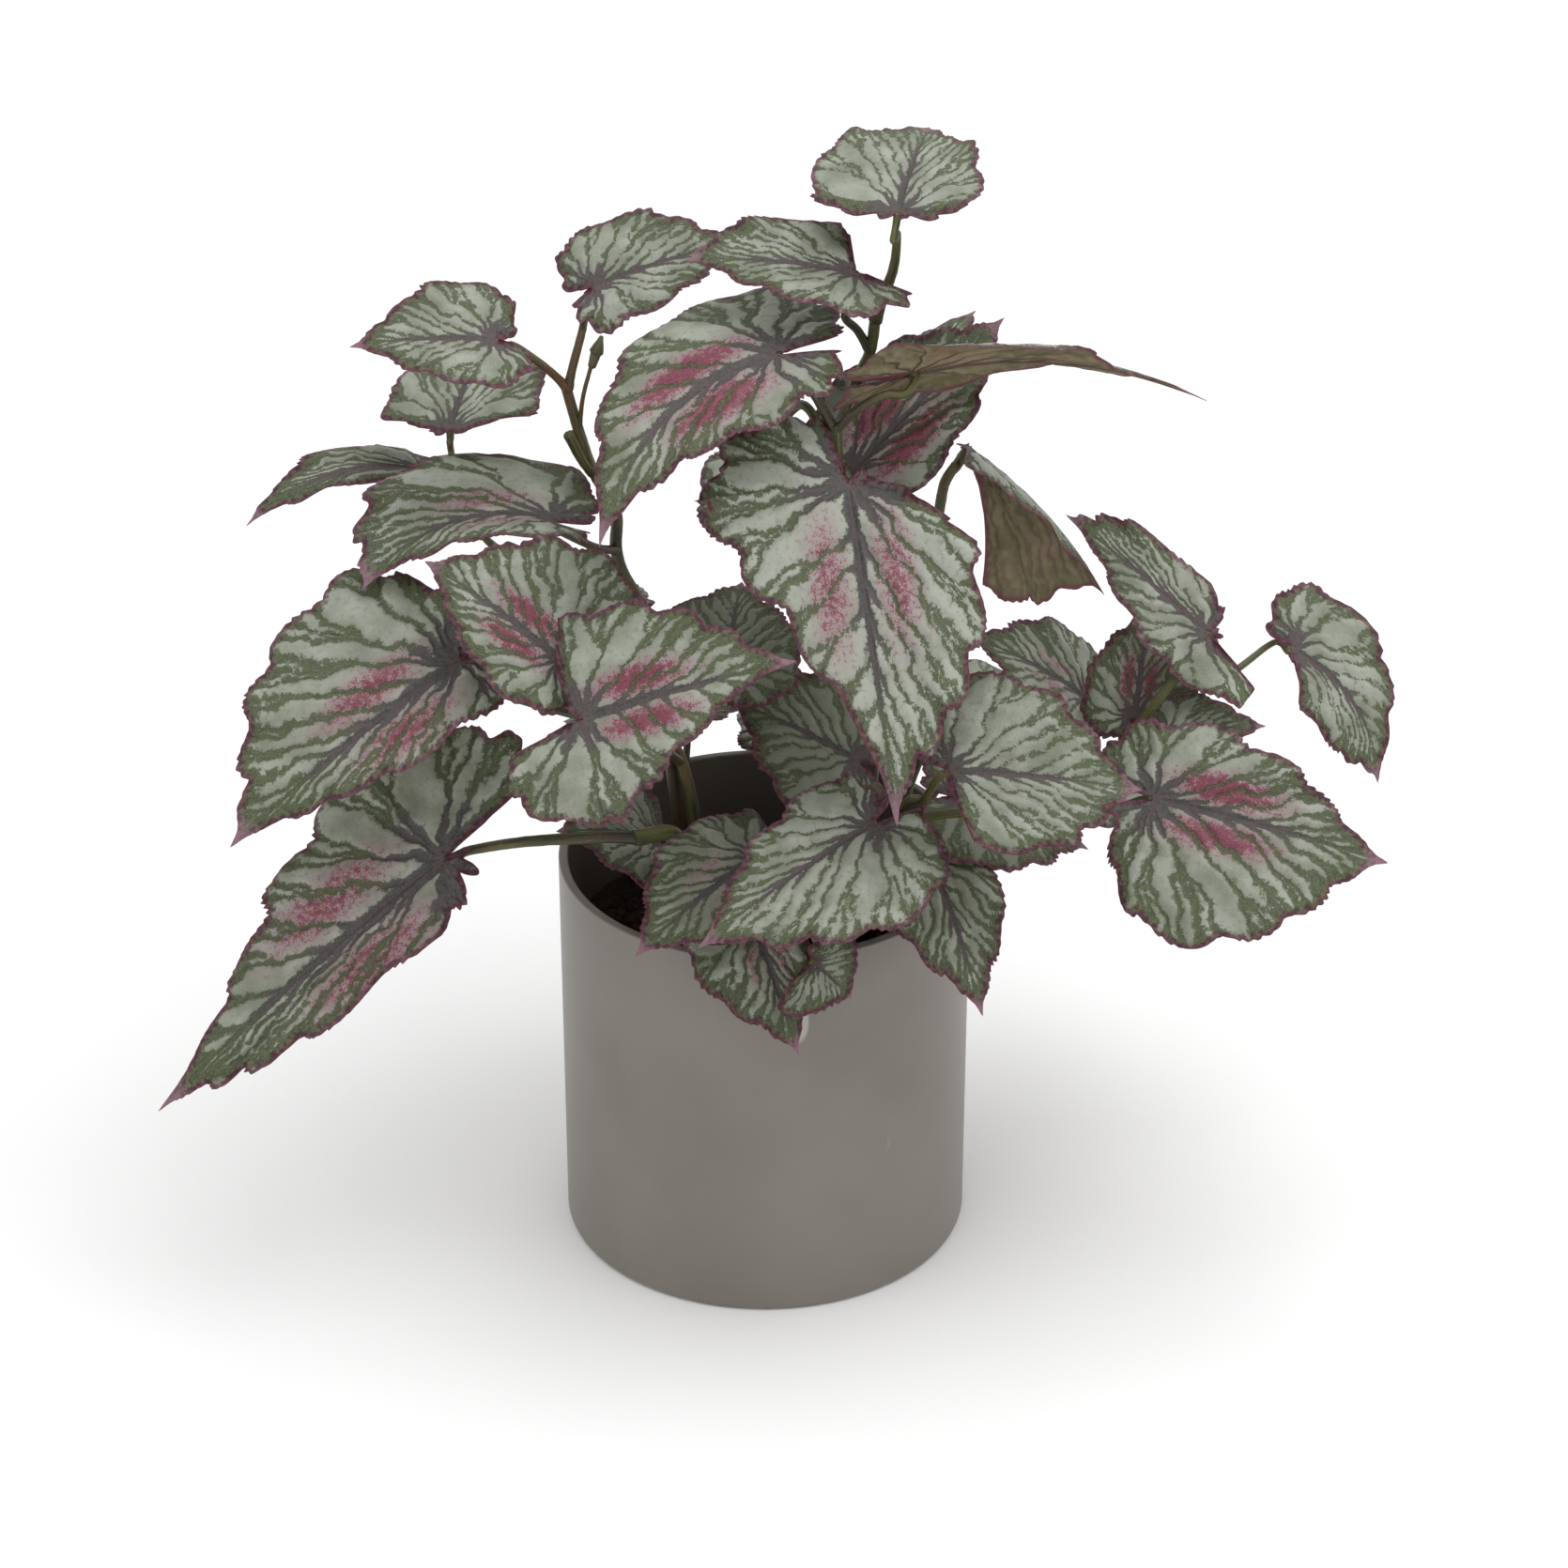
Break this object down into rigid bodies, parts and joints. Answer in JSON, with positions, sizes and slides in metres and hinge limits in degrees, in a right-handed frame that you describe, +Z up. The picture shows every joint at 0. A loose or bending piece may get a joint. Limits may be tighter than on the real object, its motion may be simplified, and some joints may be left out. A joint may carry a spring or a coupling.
{
  "type": "potted begonia",
  "caption": "House plant with silvery, toothed, lopsided leaves on arching stalks, growing from soil in a plain straight-sided round pot.",
  "frame": {"origin": "middle of the pot's flat base, on the surface that it stands on", "axes": "+Z up along the pot's axis; +X to the right and -Y towards the viewer as the plant is shown"},
  "size_m": [0.5002, 0.2977, 0.4717],
  "materials": {
    "leaf": "silvery green leaf skin with dark veins and maroon edges, satin",
    "petiole": "smooth living stalk, satin",
    "pot": "plain satin taupe grey glaze",
    "soil": "dark damp potting soil, rough"
  },
  "bodies": {
    "root": {"leaf_centre_1": "leaf", "leaf_centre_10": "leaf", "leaf_centre_11": "leaf", "leaf_centre_12": "leaf", "leaf_centre_2": "leaf", "leaf_centre_3": "leaf", "leaf_centre_4": "leaf", "leaf_centre_5": "leaf", "leaf_centre_6": "leaf", "leaf_centre_7": "leaf", "leaf_centre_8": "leaf", "leaf_centre_9": "leaf", "leaf_front_left_1": "leaf", "leaf_front_left_2": "leaf", "leaf_front_left_3": "leaf", "leaf_front_left_4": "leaf", "leaf_front_left_5": "leaf", "leaf_front_left_6": "leaf", "leaf_front_left_7": "leaf", "leaf_front_left_8": "leaf", "leaf_front_right_1": "leaf", "leaf_front_right_2": "leaf", "leaf_front_right_3": "leaf", "leaf_front_right_4": "leaf", "leaf_front_right_5": "leaf", "leaf_front_right_6": "leaf", "leaf_left_1": "leaf", "leaf_left_2": "leaf", "leaf_left_3": "leaf", "leaf_left_4": "leaf", "leaf_left_5": "leaf", "leaf_left_6": "leaf", "leaf_left_7": "leaf", "leaf_right_1": "leaf", "leaf_right_2": "leaf", "leaf_right_3": "leaf", "leaf_right_4": "leaf", "leaf_right_5": "leaf", "leaf_right_6": "leaf", "leaf_right_7": "leaf", "leaf_right_8": "leaf", "pot": "pot", "soil": "soil", "stem_centre": "petiole", "stem_front_left": "petiole", "stem_front_right": "petiole", "stem_left": "petiole", "stem_right": "petiole"}
  },
  "joints": []
}
